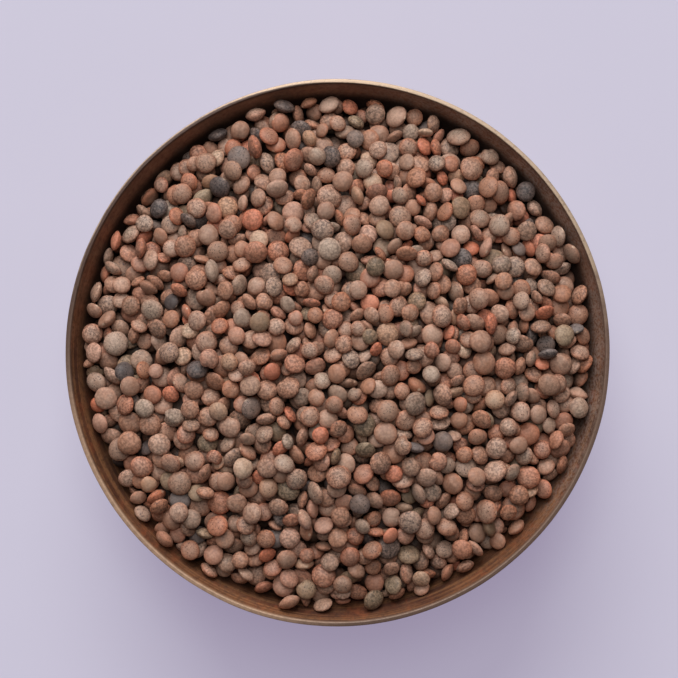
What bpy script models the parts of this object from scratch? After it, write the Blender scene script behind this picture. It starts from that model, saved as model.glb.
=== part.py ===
"""A small hand-turned brass bowl, heaped with dry whole lentils.

Two solids stand in one frame, +Z up, with the origin at the middle of the flat face that the bowl rests on:
the bowl, a thin turned shell with a flat base, a rounded side and a plain lip, and the heap of lentils, one solid
that fills the bowl up to its uneven, lumpy crown. The lentils touch the wall a little below the lip and rise above
it in the middle. Lengths are in metres and angles in radians, unless a name says otherwise.
"""

import math

import bpy
from mathutils import Vector, noise

# Driving dimensions
LIP_RADIUS = 0.0620
BOWL_HEIGHT = 0.0420
BASE_RADIUS = 0.0230
WALL = 0.0011
SIDE_ARC = math.radians(52.0)
LIP_DROP = 0.00022
LIP_ROUND = 0.00028
FREEBOARD = 0.0060
CROWN_ABOVE_LIP = 0.0084
CLEARANCE = 0.0003

# How finely the turned shapes are divided
BOWL_STEPS = 64
SIDE_POINTS = 10
ROUND_POINTS = 2
HEAP_STEPS = 60
CROWN_POINTS = 17
UNDER_POINTS = 6

# How uneven the hand-made bowl and the poured heap are
OVAL = 0.0030
OVAL_TURN = math.radians(80.0)
SQUARENESS = 0.0008
EDGE_WAVE = 0.0007
CROWN_POWER = 1.85
MOUND = 0.0010
MOUND_LENGTH = 0.0170
LUMP = 0.0007
LUMP_LENGTH = 0.0080
TWIN = 1.0e-6

COLOURS = {"brass": (0.115, 0.062, 0.035), "lentil": (0.275, 0.165, 0.118)}


def clear_scene():
    for old in list(bpy.data.objects):
        bpy.data.objects.remove(old)


def material(name, roughness, metallic):
    """A Principled material of the part's own colour."""
    made = bpy.data.materials.new(name)
    made.use_nodes = True
    shader = made.node_tree.nodes["Principled BSDF"]
    shader.inputs["Base Color"].default_value = (*COLOURS[name], 1.0)
    shader.inputs["Roughness"].default_value = roughness
    shader.inputs["Metallic"].default_value = metallic
    return made


def side_axes(inset):
    """The half-width and half-height of the ellipse that the side follows, inset from the outer face."""
    half_width = (LIP_RADIUS - BASE_RADIUS) / math.sin(SIDE_ARC)
    half_height = BOWL_HEIGHT / (1.0 - math.cos(SIDE_ARC))
    return half_width - inset, half_height - inset


def side_point(inset, turn):
    """A point (radius, height) of the side, turn radians round its ellipse from the base."""
    half_width, half_height = side_axes(inset)
    return BASE_RADIUS + half_width * math.sin(turn), inset + half_height * (1.0 - math.cos(turn))


def side_turn(inset, height):
    """How far round its ellipse the side reaches a height."""
    half_height = side_axes(inset)[1]
    return math.acos(1.0 - (height - inset) / half_height)


def side_radius(inset, height):
    """The radius of the side at a height, and of the flat floor's edge below it."""
    return side_point(inset, side_turn(inset, max(height, inset)))[0]


def rounded(corner, start, end, radius):
    """Points that round a corner of an outline between the directions start and end, seen from the corner."""
    first = Vector(corner) + Vector(start).normalized() * radius
    last = Vector(corner) + Vector(end).normalized() * radius
    points = []
    for step in range(ROUND_POINTS + 1):
        share = step / ROUND_POINTS
        bent = first * (1 - share) ** 2 + Vector(corner) * 2 * share * (1 - share) + last * share**2
        points.append((bent.x, bent.y))
    return points


def bowl_profile():
    """The wall's section, from the middle of the floor up the inside, over the lip and down to the base."""
    inside = (side_radius(WALL, BOWL_HEIGHT), BOWL_HEIGHT)
    outside = (side_radius(0.0, BOWL_HEIGHT - LIP_DROP), BOWL_HEIGHT - LIP_DROP)
    slope = Vector(side_point(0.0, SIDE_ARC)) - Vector(side_point(0.0, SIDE_ARC * 0.98))
    down = -slope
    across = Vector(outside) - Vector(inside)
    top_inside = side_turn(WALL, BOWL_HEIGHT - 1.6 * LIP_ROUND)
    top_outside = side_turn(0.0, BOWL_HEIGHT - LIP_DROP - 1.6 * LIP_ROUND)
    shares = [step / SIDE_POINTS for step in range(SIDE_POINTS + 1)]
    profile = [(0.0, WALL)]
    profile += [side_point(WALL, share * top_inside) for share in shares]
    profile += rounded(inside, down, across, LIP_ROUND)
    profile += rounded(outside, -across, down, LIP_ROUND)
    profile += [side_point(0.0, share * top_outside) for share in reversed(shares)]
    profile.append((0.0, 0.0))
    return profile


def crown_height(share):
    """The heap's height above its edge at a share of its radius, as a part of the whole rise."""
    return 1.0 - share**CROWN_POWER


def heap_levels():
    """The heights of the heap's edge and of its top."""
    return BOWL_HEIGHT - FREEBOARD, BOWL_HEIGHT + CROWN_ABOVE_LIP


def heap_profile():
    """The even heap's section, from its top down the crown to its edge and in along the bowl's inside."""
    edge, top = heap_levels()
    inset = WALL + CLEARANCE
    reach = side_radius(inset, edge)
    last_turn = side_turn(inset, edge)
    profile = []
    for step in range(CROWN_POINTS):
        share = step / CROWN_POINTS
        profile.append((reach * share, edge + (top - edge) * crown_height(share)))
    for step in range(UNDER_POINTS + 1):
        profile.append(side_point(inset, last_turn * (1.0 - step / UNDER_POINTS)))
    profile.append((0.0, inset))
    return profile


def turned(name, profile, steps):
    """A mesh object turned about Z. The profile starts and ends on the axis."""
    mesh = bpy.data.meshes.new(name)
    mesh.from_pydata([(radius, 0.0, height) for radius, height in profile],
                     [(index, index + 1) for index in range(len(profile) - 1)], [])
    lathe = bpy.data.objects.new(name + "_lathe", mesh)
    bpy.context.scene.collection.objects.link(lathe)
    screw = lathe.modifiers.new("turn", "SCREW")
    screw.steps = steps
    screw.render_steps = steps
    screw.use_merge_vertices = True
    screw.merge_threshold = 0.00002
    screw.use_smooth_shade = False
    graph = bpy.context.evaluated_depsgraph_get()
    made = bpy.data.objects.new(name, bpy.data.meshes.new_from_object(lathe.evaluated_get(graph)))
    bpy.data.objects.remove(lathe)
    return made


def level_wave(angle):
    """How much higher or lower the lentils stand round the wall, from -1 to 1."""
    return (math.sin(2 * angle + 0.6) + 0.7 * math.sin(3 * angle + 2.1) + 0.5 * math.sin(7 * angle)) / 2.2


def lumps(x, y):
    """The mounds of the poured heap, and the smaller lumps of its single lentils."""
    mound = noise.noise(Vector((x, y, 0.0)) / MOUND_LENGTH)
    lump = noise.noise(Vector((x, y, 0.05)) / LUMP_LENGTH)
    return MOUND * mound + LUMP * lump


def uneven_heap(heap):
    """Moves the even heap's points: its edge wanders up and down the wall, and its crown becomes lumpy."""
    edge, top = heap_levels()
    inset = WALL + CLEARANCE
    reach = side_radius(inset, edge)
    for vertex in heap.data.vertices:
        x, y, height = vertex.co
        radius = math.hypot(x, y)
        angle = math.atan2(y, x)
        level = edge + EDGE_WAVE * level_wave(angle)
        on_crown = radius < TWIN or height > edge + TWIN
        if on_crown and height > inset + TWIN:
            share = radius / reach
            radius = share * side_radius(inset, level)
            height = level + (top - level) * crown_height(share)
            fade = min(1.0, 4.0 * (1.0 - share))
            height += fade * lumps(radius * math.cos(angle), radius * math.sin(angle))
        elif height > inset + TWIN:
            height = inset + (height - inset) * (level - inset) / (edge - inset)
            radius = side_radius(inset, height)
        vertex.co = (radius * math.cos(angle), radius * math.sin(angle), height)


def out_of_round(piece):
    """Makes a turned piece as slightly oval and squarish as the bowl, more so towards the lip."""
    for vertex in piece.data.vertices:
        angle = math.atan2(vertex.co.y, vertex.co.x)
        rise = vertex.co.z / BOWL_HEIGHT
        stretch = 1.0 + rise * (OVAL * math.cos(2 * (angle - OVAL_TURN)) + SQUARENESS * math.cos(4 * angle))
        vertex.co.x *= stretch
        vertex.co.y *= stretch


def finished(piece, collection, surface):
    """Puts a piece in the object's collection, with its material and smooth shading between its sharp edges."""
    collection.objects.link(piece)
    piece.data.materials.clear()
    piece.data.materials.append(surface)
    piece.data.shade_smooth()
    piece.data.set_sharp_from_angle(angle=math.radians(40.0))


def main():
    clear_scene()
    collection = bpy.data.collections.new("bowl_of_lentils")
    bpy.context.scene.collection.children.link(collection)

    bowl = turned("bowl", bowl_profile(), BOWL_STEPS)
    out_of_round(bowl)
    finished(bowl, collection, material("brass", 0.5, 0.8))

    heap = turned("lentils", heap_profile(), HEAP_STEPS)
    uneven_heap(heap)
    out_of_round(heap)
    finished(heap, collection, material("lentil", 0.75, 0.0))


main()
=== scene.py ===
"""The looks of a small aged brass bowl heaped with dry lentils.

The bowl is turned again as a fine mesh with a patina, which has painted light and shade on its inner wall and
lip. The heap is filled with single lentils, which come to rest one by one on the ones below, over a plain
core that doesn't show; the core and the lentils deep in the gaps are coloured dark as painted shade. Lengths
are in metres and angles in radians.
"""

import math
from collections import namedtuple

import bpy
import numpy as np
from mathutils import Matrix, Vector, noise
from mathutils.bvhtree import BVHTree


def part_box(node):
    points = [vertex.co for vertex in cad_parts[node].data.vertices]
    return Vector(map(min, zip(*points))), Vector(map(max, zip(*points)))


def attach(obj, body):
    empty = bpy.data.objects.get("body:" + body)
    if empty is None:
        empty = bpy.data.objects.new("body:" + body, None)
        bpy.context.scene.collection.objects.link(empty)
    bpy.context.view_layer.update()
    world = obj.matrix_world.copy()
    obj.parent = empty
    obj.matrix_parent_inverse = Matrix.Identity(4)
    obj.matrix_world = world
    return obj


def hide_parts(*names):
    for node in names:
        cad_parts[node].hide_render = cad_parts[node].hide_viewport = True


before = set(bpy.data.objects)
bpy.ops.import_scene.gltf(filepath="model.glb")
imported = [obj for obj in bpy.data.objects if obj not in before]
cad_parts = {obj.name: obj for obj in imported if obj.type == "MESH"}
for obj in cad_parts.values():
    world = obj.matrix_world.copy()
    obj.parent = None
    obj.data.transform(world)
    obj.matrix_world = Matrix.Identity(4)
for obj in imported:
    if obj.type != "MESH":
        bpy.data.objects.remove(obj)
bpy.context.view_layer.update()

# The bowl, as the frame has it
LIP_RADIUS = 0.0620
BOWL_HEIGHT = 0.0420
BASE_RADIUS = 0.0230
WALL = 0.0011
SIDE_ARC = math.radians(52.0)
LIP_DROP = 0.00022
LIP_ROUND = 0.00030
OVAL = 0.0030
OVAL_TURN = math.radians(80.0)
SQUARENESS = 0.0008
DENT = 0.00009
DENT_LENGTH = 0.011

# How finely the bowl is divided
BOWL_STEPS = 320
SIDE_POINTS = 44
ROUND_POINTS = 6

# The heap: how deep real lentils lie on the core, and how finely the ground under them is mapped
LENTIL_DEPTH = 0.0062
CORE_GAP = 0.0004
CELL = 0.0002
MAP_HALF = 0.0616
SURVEY_STEP = 0.0014
OUTSIDE = 1.0

# Where the heap still needs a lentil: the chance spots looked at for each, the steps to each side over which
# the ground there is averaged, and the cells in a step. A spot is full within this part of a half-thickness
# of the outline, and this many full spots in a row end the pouring.
SEED = 20
MOST_LENTILS = 3400
SPOTS = 30
WINDOW_STEPS = 6
WINDOW_STRIDE = 2
FULL_ENOUGH = 0.28
MISSES = 120

# How far lentils may stand up over the CAD heap, how far below the lip they still fall on the wall, and the
# edge of the map that their centres keep clear of
HEADROOM = 0.0012
WALL_CLEAR = 0.0026
MAP_MARGIN = 0.0032

# How a lentil finds its place: the reach and the leaning of each round of small moves, the tries in a round
# and the drag on them. Jammed ones have one round. A lentil shows if it is on top of this many of the cells.
ROUNDS = ((0.0013, 0.38), (0.0008, 0.26), (0.0004, 0.16))
FIRST_LEAN = 0.60
MOST_LEAN = 0.97
JAMMED_SHARE = 0.16
TRIES = 22
DRAG = 0.15
SEEN_CELLS = 5

# The pits in the heap's top, and the deeper ones where it thins out along the wall
PITS = 240
PIT_RADIUS = (0.0016, 0.0034)
PIT_SHARE = (0.4, 1.0)
PIT_DEPTH = 0.0021
WALL_PITS = 70
WALL_PIT_DEPTH = 0.0034
WALL_REACH = 0.0050

# A lentil's form. The waves of its outline are (number round it, most depth as a share of the radius), and
# its other unevenness is in shares of its radius or half-thickness. DENT_WAVES is in radians to a radius.
FACE_POWER = 1.20
TOUCH_THICKNESS = 0.94
THICKNESS_SPREAD = 0.09
OUTLINE_WAVES = ((1, 0.03), (2, 0.045), (3, 0.025), (5, 0.008))
NOTCHED_SHARE = 0.07
NOTCH = (0.10, 0.26)
SLIGHT_NOTCH = (0.0, 0.03)
NOTCH_ANGLE = 0.36
HILUM_ANGLE = 0.22
FULLNESS = 0.12
DENT_WAVES = (1.2, 2.4)
SHRIVELLED_SHARE = 0.18
SHRIVELLED, SMOOTH = 0.13, 0.045
WARP = 0.02
FINE_RINGS, FINE_AROUND = 5, 24
COARSE_RINGS, COARSE_AROUND = 3, 12

# A kind of lentil: its share of the heap, its mean width and that width's spread, its thickness as a share of
# its width, the lightest and darkest of its tones, and the colours of its warm patches, keel and blotches.
# The rim's share is how strong the keel is, and the last two are the shares that are blotched and specked.
Kind = namedtuple("Kind", "name share width spread flatness light dark warm rim rim_share blotch "
                          "blotch_share speck_share")


def paint(red, green, blue):
    """A linear colour from display values of 0 to 255."""
    shares = np.array((red, green, blue)) / 255.0
    linear = np.where(shares <= 0.04045, shares / 12.92, ((shares + 0.055) / 1.055) ** 2.4)
    return (*linear.tolist(), 1.0)


KINDS = (
    Kind("brown", 0.27, 0.00442, 0.11, 0.53,
         paint(190, 158, 139), paint(155, 119, 100), paint(174, 124, 99),
         paint(180, 110, 79), 0.55, paint(92, 66, 57), 0.08, 0.50),
    Kind("chestnut", 0.24, 0.00440, 0.11, 0.53,
         paint(187, 152, 132), paint(146, 109, 90), paint(171, 119, 93),
         paint(180, 108, 76), 0.65, paint(86, 61, 52), 0.08, 0.40),
    Kind("taupe", 0.14, 0.00440, 0.12, 0.52,
         paint(181, 157, 139), paint(140, 115, 99), paint(161, 122, 101),
         paint(168, 107, 79), 0.50, paint(82, 67, 60), 0.14, 0.55),
    Kind("pink", 0.16, 0.00434, 0.11, 0.52,
         paint(192, 151, 131), paint(157, 113, 94), paint(178, 120, 94),
         paint(190, 109, 77), 0.65, paint(98, 62, 51), 0.06, 0.30),
    Kind("tan", 0.05, 0.00420, 0.11, 0.52,
         paint(197, 168, 145), paint(166, 131, 109), paint(180, 136, 108),
         paint(188, 123, 89), 0.45, paint(112, 84, 68), 0.06, 0.25),
    Kind("olive", 0.04, 0.00452, 0.11, 0.52,
         paint(168, 146, 123), paint(128, 107, 87), paint(152, 119, 95),
         paint(147, 107, 81), 0.35, paint(75, 65, 54), 0.30, 0.40),
    Kind("orange", 0.035, 0.00402, 0.11, 0.52,
         paint(208, 139, 112), paint(177, 108, 84), paint(192, 115, 86),
         paint(199, 108, 78), 0.45, paint(146, 82, 61), 0.06, 0.10),
    Kind("slate", 0.04, 0.00460, 0.11, 0.51,
         paint(130, 117, 112), paint(84, 74, 72), paint(139, 114, 101),
         paint(112, 86, 75), 0.40, paint(40, 36, 38), 0.62, 0.80),
    Kind("speckled", 0.025, 0.00478, 0.11, 0.51,
         paint(190, 163, 145), paint(158, 129, 112), paint(172, 133, 111),
         paint(168, 120, 96), 0.40, paint(72, 60, 59), 0.62, 0.95),
)

# The sizes of the features in the materials. The two drawn-out ones are given as features to a metre.
CLOUD_SIZE = 0.0016
PATCH_SIZE = 0.0021
NET_SIZE = 0.00052
PORE_SIZE = 0.00042
WRINKLE_SIZE = 0.0008
MARBLING_SIZE = 0.00070
SPECK_SIZE = 0.00036
LUMP_SIZE = 0.0042
STAIN_SIZE = 0.014
SPOT_SIZE = 0.0011
DUST_SIZE = 0.0007
TURNING_SCALE = (22.0, 22.0, 1900.0)
STREAK_SCALE = (300.0, 300.0, 40.0)
WEAR_AND_HIGHLIGHT_SIZE = 0.006
WEAR_AND_HIGHLIGHT_UNEVEN = 0.7
FLOOR_CLOUD_SIZE = 0.05

# How far below the lip the painted shade on the inner wall, down by the lentils, starts, and where it is
# darkest
WALL_SHADE_START = 0.0032
WALL_SHADE_FULL = 0.0070

PALE_HILUM = paint(226, 198, 170)
DARK_HILUM = paint(64, 46, 40)
# Painted shade for the lentils that lie deep in the heap's gaps
DEEP_GAP_SHADE = paint(30, 18, 14)

# The light and the view. Each light's share is its part of the light that reaches the open floor, and the
# floor's own glow grows from nothing to full between two distances from the bowl's axis.
Lamp = namedtuple("Lamp", "name side rise distance size share")
LAMPS = (
    Lamp("window", math.radians(98.0), math.radians(38.0), 3.0, 2.20, 0.65),
    Lamp("overhead", math.radians(98.0), math.radians(76.0), 1.2, 0.50, 0.27),
)
WORLD_SHARE = 0.08
FLOOR_GLOW = 0.37
GLOW_START = 0.026
GLOW_FULL = 0.064
FLOOR_SIZE = 6.0
CAMERA_DISTANCE = 0.55
CAMERA_SHIFT = Vector((0.0003, 0.0031, 0.0))
VIEW_WIDTH = 0.1536


# The bowl

def side_axes(inset):
    """The half-width and half-height of the ellipse that the side follows, inset from the outer face."""
    half_width = (LIP_RADIUS - BASE_RADIUS) / math.sin(SIDE_ARC)
    half_height = BOWL_HEIGHT / (1.0 - math.cos(SIDE_ARC))
    return half_width - inset, half_height - inset


def side_point(inset, turn):
    """A point (radius, height) of the side, turn radians round its ellipse from the base."""
    half_width, half_height = side_axes(inset)
    return BASE_RADIUS + half_width * math.sin(turn), inset + half_height * (1.0 - math.cos(turn))


def side_turn(inset, height):
    """How far round its ellipse the side reaches a height."""
    return math.acos(1.0 - (height - inset) / side_axes(inset)[1])


def rounded(corner, start, end, radius):
    """Points that round a corner of an outline between the directions start and end, seen from the corner."""
    first = Vector(corner) + Vector(start).normalized() * radius
    last = Vector(corner) + Vector(end).normalized() * radius
    points = []
    for step in range(ROUND_POINTS + 1):
        share = step / ROUND_POINTS
        bent = first * (1 - share) ** 2 + Vector(corner) * 2 * share * (1 - share) + last * share**2
        points.append((bent.x, bent.y))
    return points


def bowl_profile():
    """The wall's section, from the middle of the floor up the inside, over the lip and down to the base."""
    inside = side_point(WALL, side_turn(WALL, BOWL_HEIGHT))
    outside = side_point(0.0, side_turn(0.0, BOWL_HEIGHT - LIP_DROP))
    down = Vector(side_point(0.0, SIDE_ARC * 0.98)) - Vector(side_point(0.0, SIDE_ARC))
    across = Vector(outside) - Vector(inside)
    top_inside = side_turn(WALL, BOWL_HEIGHT - 1.3 * LIP_ROUND)
    top_outside = side_turn(0.0, BOWL_HEIGHT - LIP_DROP - 1.3 * LIP_ROUND)
    shares = [step / SIDE_POINTS for step in range(SIDE_POINTS + 1)]
    profile = [(0.0, WALL)]
    profile += [(BASE_RADIUS * share, WALL) for share in (0.2, 0.4, 0.6, 0.8)]
    profile += [side_point(WALL, share * top_inside) for share in shares]
    profile += rounded(inside, down, across, LIP_ROUND)
    profile += rounded(outside, -across, down, LIP_ROUND)
    profile += [side_point(0.0, share * top_outside) for share in reversed(shares)]
    profile += [(BASE_RADIUS * share, 0.0) for share in (0.8, 0.6, 0.4, 0.2)]
    profile.append((0.0, 0.0))
    return profile


def turned(name, profile, steps):
    """A mesh object turned about Z. The profile starts and ends on the axis."""
    mesh = bpy.data.meshes.new(name)
    mesh.from_pydata([(radius, 0.0, height) for radius, height in profile],
                     [(index, index + 1) for index in range(len(profile) - 1)], [])
    lathe = bpy.data.objects.new(name + "_lathe", mesh)
    bpy.context.scene.collection.objects.link(lathe)
    screw = lathe.modifiers.new("turn", "SCREW")
    screw.steps = steps
    screw.render_steps = steps
    screw.use_merge_vertices = True
    screw.merge_threshold = 0.00001
    graph = bpy.context.evaluated_depsgraph_get()
    made = bpy.data.objects.new(name, bpy.data.meshes.new_from_object(lathe.evaluated_get(graph)))
    bpy.data.objects.remove(lathe)
    bpy.context.scene.collection.objects.link(made)
    made.data.shade_smooth()
    return made


def stretch(angle, height):
    """How much the bowl is drawn out of round at an angle, more so towards the lip."""
    rise = height / BOWL_HEIGHT
    return 1.0 + rise * (OVAL * np.cos(2 * (angle - OVAL_TURN)) + SQUARENESS * np.cos(4 * angle))


def make_bowl():
    """The bowl, slightly out of round, with the shallow dents of hand work in both its faces.

    It marks its lip, its inner face, and how far across the lip a point is, from the inner edge at 0 to the
    outer at 1. The mark of the inner face is set wherever a point lies within the middle of the wall, so the
    underside of the base has it too.
    """
    bowl = turned("brass_bowl", bowl_profile(), BOWL_STEPS)
    lip = bowl.data.attributes.new("lip", "FLOAT", "POINT")
    across = bowl.data.attributes.new("across", "FLOAT", "POINT")
    inside = bowl.data.attributes.new("inside", "FLOAT", "POINT")
    inner = side_point(WALL, side_turn(WALL, BOWL_HEIGHT))[0]
    outer = side_point(0.0, side_turn(0.0, BOWL_HEIGHT - LIP_DROP))[0]
    for vertex in bowl.data.vertices:
        x, y, height = vertex.co
        angle = math.atan2(y, x)
        rise = height / BOWL_HEIGHT
        factor = stretch(angle, height)
        dent = noise.noise(Vector((math.cos(angle), math.sin(angle), rise)) * (LIP_RADIUS / DENT_LENGTH))
        radius = max(math.hypot(x, y), 1.0e-6)
        factor += rise * dent * DENT / radius
        vertex.co = (x * factor, y * factor, height)
        lip.data[vertex.index].value = max(0.0, 1.0 - (BOWL_HEIGHT - height) / (2.0 * LIP_DROP + LIP_ROUND))
        across.data[vertex.index].value = (radius - inner) / (outer - inner)
        middle = side_point(0.5 * WALL, side_turn(0.5 * WALL, max(height, 0.5 * WALL)))[0]
        inside.data[vertex.index].value = float(radius < middle)
    return bowl


# The heap's ground and outline, as maps of heights

def map_axis():
    """The places of the map's rows, and of its columns."""
    half = int(MAP_HALF / CELL)
    return np.arange(-half, half + 1) * CELL


def survey(node):
    """The height of a CAD node's top over the map: measured on a coarse grid, and evened in between."""
    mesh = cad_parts[node].data
    mesh.calc_loop_triangles()
    corners = [vertex.co for vertex in mesh.vertices]
    tree = BVHTree.FromPolygons(corners, [tuple(face.vertices) for face in mesh.loop_triangles])
    coarse = np.arange(-MAP_HALF - SURVEY_STEP, MAP_HALF + 2 * SURVEY_STEP, SURVEY_STEP)
    heights = np.full((len(coarse), len(coarse)), np.nan)
    for row, x in enumerate(coarse):
        for column, y in enumerate(coarse):
            hit = tree.ray_cast(Vector((x, y, 2 * BOWL_HEIGHT)), Vector((0.0, 0.0, -1.0)))[0]
            if hit is not None:
                heights[row, column] = hit.z
    heights = np.where(np.isnan(heights), np.nanmin(heights), heights)
    axis = map_axis()
    along = np.array([np.interp(axis, coarse, line) for line in heights])
    return np.array([np.interp(axis, coarse, line) for line in along.T]).T


def wall_map():
    """The height of the bowl's inside over the map, and OUTSIDE beyond its lip."""
    axis = map_axis()
    x, y = np.meshgrid(axis, axis, indexing="ij")
    half_width, half_height = side_axes(WALL)
    radius = np.hypot(x, y) / stretch(np.arctan2(y, x), BOWL_HEIGHT)
    share = (radius - BASE_RADIUS) / half_width
    turn = np.arcsin(np.clip(share, 0.0, 0.999))
    height = WALL + half_height * (1.0 - np.cos(turn))
    return np.where(height > BOWL_HEIGHT - LIP_ROUND, OUTSIDE, height)


def resting_heights(ground, cells, leans, radius, half):
    """The centre heights at which a lentil touches the ground, for each cell and lean tried.

    A lean is the horizontal part of the lentil's own axis. For touching, a lentil is a flat ellipsoid.
    """
    reach = int(radius / CELL) + 1
    steps = np.arange(-reach, reach + 1)
    across, along = np.meshgrid(steps * CELL, steps * CELL, indexing="ij")
    upright = np.sqrt(1.0 - (leans**2).sum(axis=1))[:, None, None]
    flat = 1.0 / radius**2
    thin = 1.0 / half**2 - flat
    off_axis = leans[:, 0, None, None] * across + leans[:, 1, None, None] * along
    square = flat + thin * upright**2
    linear = thin * upright * off_axis
    constant = flat * (across**2 + along**2) + thin * off_axis**2 - 1.0
    inside = linear**2 - square * constant
    depth = (linear + np.sqrt(np.maximum(inside, 0.0))) / square
    patch = ground[cells[:, 0, None, None] + steps[:, None], cells[:, 1, None, None] + steps]
    return np.where(inside > 0.0, patch + depth, -1.0).max(axis=(1, 2))


def cover(ground, owners, index, cell, lean, height, radius, half):
    """Adds a lentil at rest to the ground, and marks the cells where it is now on top."""
    reach = int(radius / CELL) + 1
    steps = np.arange(-reach, reach + 1)
    across, along = np.meshgrid(steps * CELL, steps * CELL, indexing="ij")
    upright = math.sqrt(1.0 - (lean**2).sum())
    flat = 1.0 / radius**2
    thin = 1.0 / half**2 - flat
    off_axis = lean[0] * across + lean[1] * along
    square = flat + thin * upright**2
    linear = thin * upright * off_axis
    inside = linear**2 - square * (flat * (across**2 + along**2) + thin * off_axis**2 - 1.0)
    top = height + (np.sqrt(np.maximum(inside, 0.0)) - linear) / square
    rows = slice(cell[0] - reach, cell[0] + reach + 1)
    columns = slice(cell[1] - reach, cell[1] + reach + 1)
    higher = (inside > 0.0) & (top > ground[rows, columns])
    ground[rows, columns][higher] = top[higher]
    owners[rows, columns][higher] = index


def frame_top(name):
    """The height of the top of a CAD node."""
    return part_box(name)[1][2]


def hollows(chance, room):
    """How much lower than its smooth outline the heap lies: pits at chance places, deeper along the wall.

    The room is the height between the wall and the outline, over the map.
    """
    axis = map_axis()
    x, y = np.meshgrid(axis, axis, indexing="ij")
    depth = np.zeros(room.shape)
    heaped = room > 0.0
    along_wall = heaped & (room < WALL_REACH)
    for inside, count, deepest in ((heaped, PITS, PIT_DEPTH), (along_wall, WALL_PITS, WALL_PIT_DEPTH)):
        spots = np.argwhere(inside)
        for spot in spots[chance.integers(len(spots), size=count)]:
            wide = chance.uniform(*PIT_RADIUS)
            away = np.hypot(x - axis[spot[0]], y - axis[spot[1]]) / wide
            depth = np.maximum(depth, chance.uniform(*PIT_SHARE) * deepest * np.exp(-(away**2)))
    return depth


def no_steeper(leans):
    """Leans, held back to the most that a lentil may lean."""
    return leans / np.maximum(1.0, np.hypot(leans[..., 0], leans[..., 1]) / MOST_LEAN)[..., None]


def come_to_rest(chance, ground, start, radius, half):
    """The cell, lean and centre height at which a lentil that falls on the start cell comes to rest.

    It moves and turns in ever smaller rounds of steps towards where it lies lowest. A few jam after the first
    round.
    """
    margin = int(MAP_MARGIN / CELL)
    cell = start
    lean = no_steeper(chance.normal(0.0, FIRST_LEAN, 2))
    rounds = ROUNDS[:1] if chance.uniform() < JAMMED_SHARE else ROUNDS
    lowest = OUTSIDE
    height = OUTSIDE
    for shift, turn in rounds:
        cells = np.round(cell + chance.normal(0.0, shift / CELL, (TRIES, 2))).astype(int)
        cells[0] = cell
        cells = np.clip(cells, margin, len(ground) - 1 - margin)
        tries = lean + chance.normal(0.0, turn, (TRIES, 2))
        tries[0] = lean
        tries = no_steeper(tries)
        heights = resting_heights(ground, cells, tries, radius, half)
        cost = heights + DRAG * CELL * np.hypot(*(cells - start).T)
        pick = int(cost.argmin())
        if cost[pick] < lowest:
            lowest = cost[pick]
            cell, lean, height = cells[pick], tries[pick], heights[pick]
    return cell, lean, height


def settle(chance, sizes, outline):
    """Pours lentils of the given (radius, half-thickness) where the heap is lowest, until it is full.

    Returns their centres, leans and whether each shows on top.
    """
    wall = wall_map()
    outline = np.maximum(outline, wall)
    ground = np.maximum(outline - LENTIL_DEPTH, wall)
    outline = np.maximum(outline - hollows(chance, outline - wall), wall)
    owners = np.full(ground.shape, -1)
    middle = len(map_axis()) // 2
    ceiling = frame_top("lentils") + HEADROOM
    room = (wall < outline).astype(float)
    open_cells = np.argwhere((room > 0.0) & (wall < BOWL_HEIGHT - WALL_CLEAR))
    near = np.arange(-WINDOW_STEPS, WINDOW_STEPS + 1) * WINDOW_STRIDE
    centres, leans = [], []
    misses = 0
    while len(centres) < min(MOST_LENTILS, len(sizes)) and misses < MISSES:
        radius, half = sizes[len(centres)]
        spots = open_cells[chance.integers(len(open_cells), size=SPOTS)]
        window = (spots[:, 0, None, None] + near[:, None], spots[:, 1, None, None] + near)
        missing = (outline[window] - ground[window]) * room[window]
        depth = missing.sum(axis=(1, 2)) / room[window].sum(axis=(1, 2))
        best = int(depth.argmax())
        if depth[best] < FULL_ENOUGH * half:
            misses += 1
            continue
        cell, lean, height = come_to_rest(chance, ground, spots[best], radius, half)
        slope = (lean**2).sum()
        if height + math.sqrt(radius**2 * slope + half**2 * (1.0 - slope)) > ceiling:
            misses += 1
            continue
        misses = 0
        cover(ground, owners, len(centres), cell, lean, height, radius, half)
        centres.append(((cell[0] - middle) * CELL, (cell[1] - middle) * CELL, height))
        leans.append(lean)
    shown = np.bincount(owners[owners >= 0], minlength=len(centres)) >= SEEN_CELLS
    return np.array(centres), np.array(leans), shown


# Single lentils

def lens_grid(rings, around):
    """A lens's points as (slope down from the top, angle), and its faces, for one lentil."""
    slopes, angles = [0.0], [0.0]
    for ring in range(1, 2 * rings):
        for step in range(around):
            slopes.append(math.pi * ring / (2 * rings))
            angles.append(2 * math.pi * (step + 0.5 * (ring % 2)) / around)
    slopes.append(math.pi)
    angles.append(0.0)
    last = len(slopes) - 1
    faces = []
    for step in range(around):
        after = (step + 1) % around
        faces.append((0, 1 + step, 1 + after))
        bottom = 1 + (2 * rings - 2) * around
        faces.append((last, bottom + after, bottom + step))
        for ring in range(2 * rings - 2):
            upper = 1 + ring * around
            lower = upper + around
            if ring % 2:
                faces.append((upper + step, lower + step, upper + after))
                faces.append((upper + after, lower + step, lower + after))
            else:
                faces.append((upper + step, lower + step, lower + after))
                faces.append((upper + step, lower + after, upper + after))
    return np.array(slopes), np.array(angles), np.array(faces)


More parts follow.
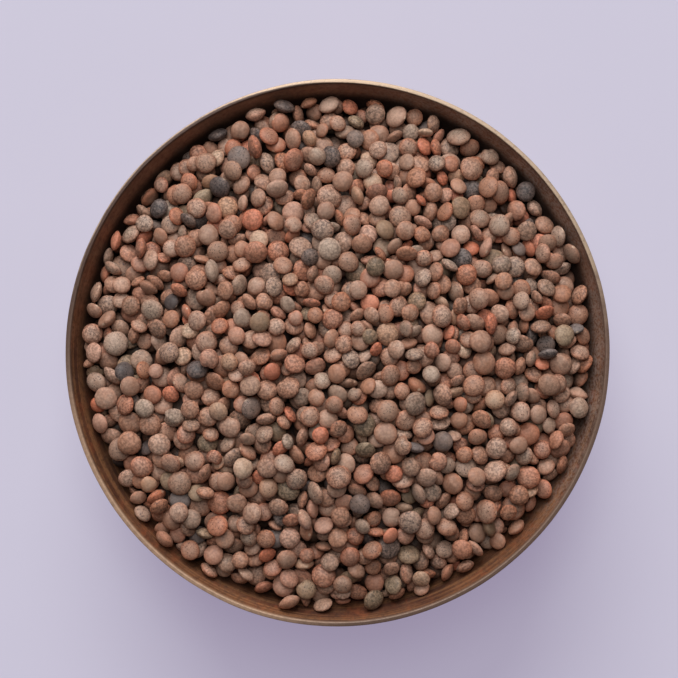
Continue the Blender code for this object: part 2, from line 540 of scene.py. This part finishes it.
def lentil_mesh(name, chance, heap, centres, leans, sizes, rings, around):
    """One mesh of many lentils, each of its own uneven form, with the marks that their material reads.

    Each lentil has its own tone, warmth, blush and spots. The keel, the hilum and the depth under the heap's
    smooth outline, in parts of LENTIL_DEPTH, differ from point to point; the depth carries painted shade.
    """
    slopes, angles, faces = lens_grid(rings, around)
    count = len(centres)
    one = (count, 1)
    out = np.sin(slopes)[None, :]
    lift = (np.sign(np.cos(slopes)) * np.abs(np.cos(slopes)) ** FACE_POWER)[None, :]
    radius, half = sizes[:, 0, None], sizes[:, 1, None]

    outline = np.ones((count, len(slopes)))
    for waves, most in OUTLINE_WAVES:
        swell = chance.uniform(0.0, most, one)
        outline += swell * np.cos(waves * angles[None, :] + chance.uniform(0, 2 * math.pi, one))
    hilum_angle = chance.uniform(0, 2 * math.pi, one)
    away = np.angle(np.exp(1j * (angles[None, :] - hilum_angle)))
    notched = chance.uniform(size=one) < NOTCHED_SHARE
    notch = np.where(notched, chance.uniform(*NOTCH, one), chance.uniform(*SLIGHT_NOTCH, one))
    outline -= notch * np.exp(-((away / NOTCH_ANGLE) ** 2))
    x = radius * out * outline * np.cos(angles)[None, :]
    y = radius * out * outline * np.sin(angles)[None, :]

    fullness = 1.0 + chance.uniform(-FULLNESS, FULLNESS, one) * np.sign(lift)
    pitch = chance.uniform(*DENT_WAVES, one) / radius
    roll = chance.uniform(0, 2 * math.pi, (3, count, 1))
    dents = np.sin(pitch * x + roll[0]) * np.sin(pitch * y + roll[1])
    dents += 0.6 * np.sin(1.9 * pitch * (x - y) + roll[2])
    shrivel = np.where(chance.uniform(size=one) < SHRIVELLED_SHARE, SHRIVELLED, SMOOTH)
    z = half * lift * fullness * (1.0 + shrivel * dents)
    z += chance.normal(0.0, WARP, one) * (x**2 - y**2) / radius

    upright = np.sqrt(1.0 - (leans**2).sum(axis=1))
    own_axis = np.column_stack((leans, upright))
    reference = np.column_stack((np.cos(chance.uniform(0, 2 * math.pi, count)),
                                 np.sin(chance.uniform(0, 2 * math.pi, count)), np.zeros(count)))
    side = np.cross(own_axis, reference)
    side /= np.linalg.norm(side, axis=1)[:, None]
    front = np.cross(own_axis, side)
    points = (centres[:, None, :] + x[..., None] * side[:, None, :] + y[..., None] * front[:, None, :]
              + z[..., None] * own_axis[:, None, :])

    cells = np.clip(np.round(points[..., :2] / CELL).astype(int) + len(heap) // 2, 0, len(heap) - 1)
    depth = heap[cells[..., 0], cells[..., 1]] - points[..., 2]

    mesh = bpy.data.meshes.new(name)
    offsets = np.arange(count)[:, None, None] * len(slopes)
    mesh.from_pydata(points.reshape(-1, 3).tolist(), [], (faces[None] + offsets).reshape(-1, 3).tolist())
    mesh.shade_smooth()
    keel = out**3 * np.ones(one)
    hilum = np.exp(-((away / HILUM_ANGLE) ** 2)) * out**12
    # The depth mark is turned into painted shade by the lentils' material
    marks = {"tone": chance.beta(2.0, 2.0, one) + 0 * keel,
             "warmth": chance.beta(1.1, 1.6, one) + 0 * keel,
             "blush": chance.uniform(size=one) + 0 * keel,
             "spots": chance.uniform(size=one) + 0 * keel,
             "keel": keel, "hilum": hilum, "depth": depth / LENTIL_DEPTH}
    for label, values in marks.items():
        attribute = mesh.attributes.new(label, "FLOAT", "POINT")
        attribute.data.foreach_set("value", np.ascontiguousarray(values, dtype=np.float32).ravel())
    return mesh


def make_lentils():
    """All the lentils of the heap, one piece for each kind."""
    chance = np.random.default_rng(SEED)
    shares = np.array([kind.share for kind in KINDS])
    kinds = chance.choice(len(KINDS), MOST_LENTILS, p=shares / shares.sum())
    widths = np.array([kind.width for kind in KINDS])[kinds]
    spreads = np.array([kind.spread for kind in KINDS])[kinds]
    flatness = np.array([kind.flatness for kind in KINDS])[kinds]
    radii = 0.5 * widths * np.exp(spreads * np.clip(chance.normal(size=MOST_LENTILS), -2.0, 2.2))
    uneven = THICKNESS_SPREAD * np.clip(chance.normal(size=MOST_LENTILS), -2.0, 2.0)
    halves = radii * flatness * np.exp(uneven)
    sizes = np.column_stack((radii, halves))
    outline = survey("lentils")
    centres, leans, shown = settle(chance, np.column_stack((radii, TOUCH_THICKNESS * halves)), outline)
    count = len(centres)
    pieces = []
    for number, kind in enumerate(KINDS):
        meshes = []
        for fine, rings, around in ((True, FINE_RINGS, FINE_AROUND), (False, COARSE_RINGS, COARSE_AROUND)):
            chosen = (kinds[:count] == number) & (shown == fine)
            if chosen.any():
                meshes.append(lentil_mesh(kind.name, chance, outline, centres[chosen], leans[chosen],
                                          sizes[:count][chosen], rings, around))
        parts = [bpy.data.objects.new("lentils_" + kind.name, mesh) for mesh in meshes]
        for part in parts:
            bpy.context.scene.collection.objects.link(part)
        if len(parts) > 1:
            with bpy.context.temp_override(active_object=parts[0], object=parts[0], selected_objects=parts,
                                           selected_editable_objects=parts):
                bpy.ops.object.join()
        parts[0].name = "lentils_" + kind.name
        parts[0].data.materials.append(lentil_material(kind))
        pieces.append(parts[0])
    return pieces


def make_core():
    """The plain core under the lentils, coloured dark as painted shade: the CAD heap, sunk below the lentils
    that lie on it.
    """
    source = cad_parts["lentils"].data
    core = bpy.data.objects.new("lentil_core", source.copy())
    bpy.context.scene.collection.objects.link(core)
    half_width = side_axes(WALL)[0]
    for vertex in core.data.vertices:
        height = max(vertex.co.z - LENTIL_DEPTH, WALL + CORE_GAP)
        turn = side_turn(WALL, min(height, BOWL_HEIGHT))
        most = BASE_RADIUS + half_width * math.sin(turn) - CORE_GAP
        radius = math.hypot(vertex.co.x, vertex.co.y)
        shrink = min(1.0, most / max(radius, 1.0e-6)) * (1.0 - CORE_GAP / LIP_RADIUS)
        vertex.co = (vertex.co.x * shrink, vertex.co.y * shrink, height)
    core.data.materials.clear()
    core.data.materials.append(core_material())
    return core


# Materials

def node(tree, kind, inputs, **settings):
    """Adds a shader node. Its inputs, by name or number, are other nodes' outputs or plain values."""
    made = tree.nodes.new("ShaderNode" + kind)
    for setting, value in settings.items():
        setattr(made, setting, value)
    for socket, value in inputs.items():
        if isinstance(value, bpy.types.NodeSocket):
            tree.links.new(value, made.inputs[socket])
        else:
            made.inputs[socket].default_value = value
    return made


def mixed(tree, share, first, second, blend="MIX"):
    """The colour between two colours at a share."""
    return node(tree, "Mix", {0: share, 6: first, 7: second}, data_type="RGBA", blend_type=blend).outputs[2]


def ramped(tree, value, low, high, start=0.0, end=1.0):
    """A value taken smoothly from start..end as it goes from low to high."""
    return node(tree, "MapRange", {0: value, 1: low, 2: high, 3: start, 4: end},
                interpolation_type="SMOOTHSTEP").outputs[0]


def maths(tree, operation, first, second):
    """The result of a sum on two values."""
    return node(tree, "Math", {0: first, 1: second}, operation=operation).outputs[0]


def product(tree, first, *others):
    """The product of two or more values."""
    for other in others:
        first = maths(tree, "MULTIPLY", first, other)
    return first


def rest_of(tree, share):
    """What is left of 1 beside a share."""
    return maths(tree, "SUBTRACT", 1.0, share)


def varied(tree, value, change, most):
    """A value moved up and down by a noise, which is about 0.5 on average."""
    return maths(tree, "ADD", value, product(tree, maths(tree, "SUBTRACT", change, 0.5), most))


def mark(tree, name):
    """A value that the mesh carries."""
    return node(tree, "Attribute", {}, attribute_name=name).outputs["Fac"]


def picked(tree, name, share, blur):
    """1 on the share of the lentils whose mark is highest, and 0 on the others, with a blurred limit."""
    return ramped(tree, mark(tree, name), 1.0 - share - blur, 1.0 - share + blur)


def grain(tree, place, size, detail=3.0, roughness=0.55):
    """Noise with features of a real size."""
    return node(tree, "TexNoise", {"Vector": place, "Scale": 1.0 / size, "Detail": detail,
                                   "Roughness": roughness}).outputs["Fac"]


def drawn_grain(tree, place, scale):
    """Noise drawn out along the axes, with about this many features to a metre along each."""
    drawn = node(tree, "Mapping", {"Vector": place, "Scale": scale}).outputs["Vector"]
    return node(tree, "TexNoise", {"Vector": drawn, "Scale": 1.0, "Detail": 3.0}).outputs["Fac"]


def facing(tree, place, x, y):
    """How much a place lies out from the axis towards (x, y): 1 straight that way, -1 on the other side."""
    flat = node(tree, "VectorMath", {0: place, 1: (1.0, 1.0, 0.0)}, operation="MULTIPLY").outputs[0]
    out = node(tree, "VectorMath", {0: flat}, operation="NORMALIZE").outputs[0]
    length = math.hypot(x, y)
    way = (x / length, y / length, 0.0)
    return node(tree, "VectorMath", {0: out, 1: way}, operation="DOT_PRODUCT").outputs["Value"]


def new_material(name):
    """A material with its tree, shader and the place on the object."""
    material = bpy.data.materials.new(name)
    material.use_nodes = True
    tree = material.node_tree
    place = node(tree, "TexCoord", {}).outputs["Object"]
    return material, tree, tree.nodes["Principled BSDF"], place


def relief(tree, shader, *layers):
    """Gives the shader a relief of (height, depth in metres, strength) layers, each on the one before."""
    normal = None
    for height, depth, strength in layers:
        inputs = {"Strength": strength, "Distance": depth, "Height": height}
        if normal is not None:
            inputs["Normal"] = normal
        normal = node(tree, "Bump", inputs).outputs["Normal"]
    tree.links.new(normal, shader.inputs["Normal"])


def seed_coat(tree, place, kind, cloud):
    """A lentil's own clouded tone between its kind's dark and light, with warm patches and a redder keel."""
    tone = varied(tree, mark(tree, "tone"), cloud, 1.1)
    skin = mixed(tree, ramped(tree, tone, 0.0, 1.0), kind.dark, kind.light)
    warmth = varied(tree, mark(tree, "warmth"), grain(tree, place, PATCH_SIZE), 1.4)
    skin = mixed(tree, ramped(tree, warmth, 0.05, 1.0, 0.0, 0.80), skin, kind.warm)
    blush = ramped(tree, mark(tree, "blush"), 0.15, 0.9, 0.25, 1.0)
    return mixed(tree, product(tree, mark(tree, "keel"), blush, kind.rim_share), skin, kind.rim)


def spotted(tree, place, kind, skin):
    """The skin with the dark marbling and specks that some of the kind's lentils have."""
    marbling = ramped(tree, grain(tree, place, MARBLING_SIZE, 3.0, 0.7), 0.50, 0.62)
    blotched = picked(tree, "spots", kind.blotch_share, 0.08)
    skin = mixed(tree, product(tree, marbling, blotched, 0.62), skin, kind.blotch)
    specks = ramped(tree, grain(tree, place, SPECK_SIZE, 1.0, 0.5), 0.62, 0.67)
    specked = picked(tree, "blush", kind.speck_share, 0.1)
    return mixed(tree, product(tree, specks, specked, 0.80), skin, kind.blotch)


def lentil_material(kind):
    """A dry seed coat, finely netted, with its spots and its hilum, and painted shade where it lies deep in a
    gap.
    """
    material, tree, shader, place = new_material("lentil_" + kind.name)
    cloud = grain(tree, place, CLOUD_SIZE)
    skin = seed_coat(tree, place, kind, cloud)

    net = node(tree, "TexVoronoi", {"Vector": place, "Scale": 1.0 / NET_SIZE}, feature="SMOOTH_F1")
    pores = product(tree, grain(tree, place, PORE_SIZE, 4.0, 0.7), 0.7)
    weave = maths(tree, "SUBTRACT", pores, product(tree, net.outputs["Distance"], 0.45))
    shade = ramped(tree, weave, 0.0, 0.30, 0.54, 1.24)
    grey = node(tree, "CombineColor", {0: shade, 1: shade, 2: shade}).outputs[0]
    skin = mixed(tree, ramped(tree, mark(tree, "spots"), 0.0, 1.0, 0.35, 1.0), skin, grey, "MULTIPLY")
    skin = spotted(tree, place, kind, skin)

    scar = mixed(tree, ramped(tree, mark(tree, "spots"), 0.45, 0.55), PALE_HILUM, DARK_HILUM)
    skin = mixed(tree, ramped(tree, mark(tree, "hilum"), 0.35, 0.75, 0.0, 0.55), skin, scar)
    # Painted shade: a point is darker the deeper it lies under the heap's smooth outline
    skin = mixed(tree, ramped(tree, mark(tree, "depth"), 0.20, 0.58, 0.0, 0.85), skin, DEEP_GAP_SHADE)
    tree.links.new(skin, shader.inputs["Base Color"])

    tree.links.new(ramped(tree, cloud, 0.3, 0.7, 0.48, 0.64), shader.inputs["Roughness"])
    shader.inputs["Specular IOR Level"].default_value = 0.30
    wrinkles = grain(tree, place, WRINKLE_SIZE, 2.0)
    relief(tree, shader, (wrinkles, 0.00014, 0.5), (weave, 0.00008, 0.5))
    return material


def core_material():
    """The inside of the heap, dark brown to nearly black as painted shade."""
    material, tree, shader, place = new_material("lentil_core")
    lumps = node(tree, "TexVoronoi", {"Vector": place, "Scale": 1.0 / LUMP_SIZE}).outputs["Distance"]
    # Painted shade: the core stands for the shaded depths between the lentils
    tree.links.new(mixed(tree, lumps, paint(96, 66, 54), paint(22, 14, 12)), shader.inputs["Base Color"])
    tree.links.new(ramped(tree, lumps, 0.0, 1.0, 0.7, 0.9), shader.inputs["Roughness"])
    relief(tree, shader, (lumps, 0.001, 0.8))
    return material


def patina_colour(tree, place, cloud, lines, spots):
    """Clouded brown, with rusty streaks down the side, paler turning lines round it and dark spots."""
    patina = mixed(tree, ramped(tree, cloud, 0.32, 0.68), paint(80, 45, 31), paint(124, 78, 50))
    streaks = drawn_grain(tree, place, STREAK_SCALE)
    patina = mixed(tree, ramped(tree, streaks, 0.50, 0.70, 0.0, 0.85), patina, paint(136, 74, 46))
    patina = mixed(tree, ramped(tree, lines, 0.44, 0.64, 0.0, 0.70), patina, paint(158, 110, 72))
    return mixed(tree, ramped(tree, spots, 0.47, 0.66, 0.0, 0.55), patina, paint(66, 39, 28))


def inner_wall_colour(tree, place, patina, cloud, spots):
    """The inside's patina: paler at the far side as painted light, dusty at the right, painted shade by the
    lentils.
    """
    inside = mark(tree, "inside")
    # Painted light: the far side of the inner wall, which faces away from the lamps, is made paler
    far = ramped(tree, facing(tree, place, 0.10, 1.0), -0.1, 0.6, 0.0, 0.85)
    far_painted_light = mixed(tree, spots, paint(176, 124, 98), paint(96, 64, 50))
    patina = mixed(tree, product(tree, far, inside), patina, far_painted_light)

    right = ramped(tree, facing(tree, place, 0.92, 0.39), 0.30, 0.95, 0.05, 0.80)
    dust = ramped(tree, grain(tree, place, DUST_SIZE, 4.0, 0.7), 0.38, 0.60)
    drifts = ramped(tree, cloud, 0.30, 0.60, 0.45, 1.0)
    patina = mixed(tree, product(tree, dust, drifts, right, inside), patina, paint(178, 158, 147))

    # Painted shade: the inner wall darkens down where the lentils meet it, more on the far side
    height = node(tree, "SeparateXYZ", {0: place}).outputs["Z"]
    wall_gap_shade = ramped(tree, height, BOWL_HEIGHT - WALL_SHADE_FULL, BOWL_HEIGHT - WALL_SHADE_START, 0.90, 0.0)
    shaded = ramped(tree, facing(tree, place, 0.0, 1.0), -0.6, 0.4, 0.45, 1.0)
    return mixed(tree, product(tree, wall_gap_shade, shaded, inside), patina, paint(26, 15, 11))


def lip_wear_and_highlight(tree, place, spots):
    """Where the lip is worn bare, with a painted highlight: it shows on the edges that face the light.

    That is its outer edge at the far side, most at the far right, and faintly its inner edge at the near
    side.
    """
    uneven = grain(tree, place, WEAR_AND_HIGHLIGHT_SIZE, 4.0)
    # Painted highlight: the line shows only on the lip's edges that face the light
    lit = ramped(tree, varied(tree, facing(tree, place, 0.05, 1.0), uneven, WEAR_AND_HIGHLIGHT_UNEVEN), 0.10, 0.50)
    wide = ramped(tree, facing(tree, place, 0.66, 0.75), 0.25, 1.0, 0.0, 0.66)
    across = maths(tree, "ADD", varied(tree, mark(tree, "across"), uneven, 0.4 * WEAR_AND_HIGHLIGHT_UNEVEN), wide)
    outer = product(tree, ramped(tree, across, 0.56, 0.82), lit)
    unlit = ramped(tree, lit, 0.0, 0.6, 1.0, 0.0)
    inner = product(tree, ramped(tree, across, 0.06, 0.20, 0.12, 0.0), unlit)
    return product(tree, maths(tree, "MAXIMUM", outer, inner), ramped(tree, spots, 0.3, 0.5, 0.6, 1.0))


def lip_band_colour(tree, place, spots):
    """The unworn lip: dull brown, with painted light at the near left and painted shade at the far left."""
    # Painted light: paler at the near left, where the lip's inner half faces the light
    near_left = ramped(tree, facing(tree, place, -0.70, -0.72), 0.66, 0.97)
    band = mixed(tree, near_left, paint(118, 93, 80), paint(190, 154, 126))
    band = mixed(tree, ramped(tree, spots, 0.35, 0.7, 0.0, 0.35), band, paint(86, 62, 48))
    # Painted shade: darker at the far left, where the lip's inner half faces away from the light
    far_left = ramped(tree, facing(tree, place, -0.6, 0.8), 0.4, 0.9)
    return mixed(tree, far_left, band, paint(78, 54, 44))


def brass_material():
    """Old brass: a brown patina, more golden and barer outside, and a lip with a worn edge and painted
    highlight.
    """
    material, tree, shader, place = new_material("aged_brass")
    cloud = grain(tree, place, STAIN_SIZE, 4.0, 0.6)
    lines = drawn_grain(tree, place, TURNING_SCALE)
    spots = grain(tree, place, SPOT_SIZE, 3.0, 0.7)
    on_lip = ramped(tree, mark(tree, "lip"), 0.25, 0.60)
    outside = product(tree, rest_of(tree, mark(tree, "inside")), rest_of(tree, on_lip))

    patina = patina_colour(tree, place, cloud, lines, spots)
    patina = inner_wall_colour(tree, place, patina, cloud, spots)
    patina = mixed(tree, product(tree, outside, 0.5), patina, paint(158, 116, 66))
    # The lip's worn edge, coloured pale as a painted highlight where it faces the light
    line = lip_wear_and_highlight(tree, place, spots)
    lip = mixed(tree, line, lip_band_colour(tree, place, spots), paint(189, 164, 140))
    tree.links.new(mixed(tree, on_lip, patina, lip), shader.inputs["Base Color"])

    bare = ramped(tree, product(tree, line, on_lip), 0.0, 1.0, 0.20, 0.50)
    tree.links.new(maths(tree, "MAXIMUM", bare, product(tree, outside, 0.70)), shader.inputs["Metallic"])
    tree.links.new(ramped(tree, spots, 0.3, 0.7, 0.44, 0.62), shader.inputs["Roughness"])
    relief(tree, shader, (lines, 0.00006, 0.35), (spots, 0.00008, 0.25))
    return material


def floor_material():
    """A plain pale floor, faintly cloudy, that glows a little like a light table, but not under the bowl."""
    material, tree, shader, place = new_material("pale_floor")
    pale = mixed(tree, grain(tree, place, FLOOR_CLOUD_SIZE), paint(151, 154, 156), paint(157, 159, 161))
    tree.links.new(pale, shader.inputs["Base Color"])
    shader.inputs["Roughness"].default_value = 0.9
    shader.inputs["Emission Color"].default_value = paint(231, 216, 255)
    out = node(tree, "VectorMath", {0: place}, operation="LENGTH").outputs["Value"]
    glow = ramped(tree, out, GLOW_START, GLOW_FULL, 0.0, FLOOR_GLOW)
    tree.links.new(glow, shader.inputs["Emission Strength"])
    return material


# The stage

def make_floor():
    """A wide floor that the bowl stands on."""
    bpy.ops.mesh.primitive_plane_add(size=FLOOR_SIZE, location=(0.0, 0.0, 0.0))
    floor = bpy.context.object
    floor.name = "floor"
    floor.data.materials.append(floor_material())


def make_lights():
    """Two soft lights from the far side, a large low one and one nearly overhead, and a dim surround."""
    world = bpy.data.worlds.new("surround")
    world.use_nodes = True
    surround = world.node_tree.nodes["Background"]
    surround.inputs["Color"].default_value = (1.0, 1.0, 1.0, 1.0)
    surround.inputs["Strength"].default_value = WORLD_SHARE
    bpy.context.scene.world = world
    for lamp in LAMPS:
        light = bpy.data.lights.new(lamp.name, "AREA")
        light.shape = "DISK"
        light.size = lamp.size
        light.energy = math.pi**2 * lamp.share * lamp.distance**2 / math.sin(lamp.rise)
        placed = bpy.data.objects.new(lamp.name, light)
        bpy.context.scene.collection.objects.link(placed)
        level = lamp.distance * math.cos(lamp.rise)
        placed.location = (level * math.cos(lamp.side), level * math.sin(lamp.side),
                           lamp.distance * math.sin(lamp.rise))
        placed.rotation_euler = (-placed.location).to_track_quat("-Z", "Y").to_euler()


def make_camera():
    """A camera that looks straight down on the bowl, with +Y up in the picture."""
    lens = bpy.data.cameras.new("camera")
    lens.sensor_width = 36.0
    lens.lens = lens.sensor_width * CAMERA_DISTANCE / VIEW_WIDTH
    lens.clip_start = 0.01
    camera = bpy.data.objects.new("camera", lens)
    bpy.context.scene.collection.objects.link(camera)
    camera.location = CAMERA_SHIFT + Vector((0.0, 0.0, BOWL_HEIGHT + CAMERA_DISTANCE))
    bpy.context.scene.camera = camera


def main():
    """Makes the pieces and the stage."""
    bowl = make_bowl()
    bowl.data.materials.clear()
    bowl.data.materials.append(brass_material())
    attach(bowl, "root")
    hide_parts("bowl")
    for piece in (make_core(), *make_lentils()):
        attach(piece, "root")
        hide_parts("lentils")
    make_floor()
    make_lights()
    make_camera()
    bpy.context.scene.view_settings.view_transform = "Standard"


main()
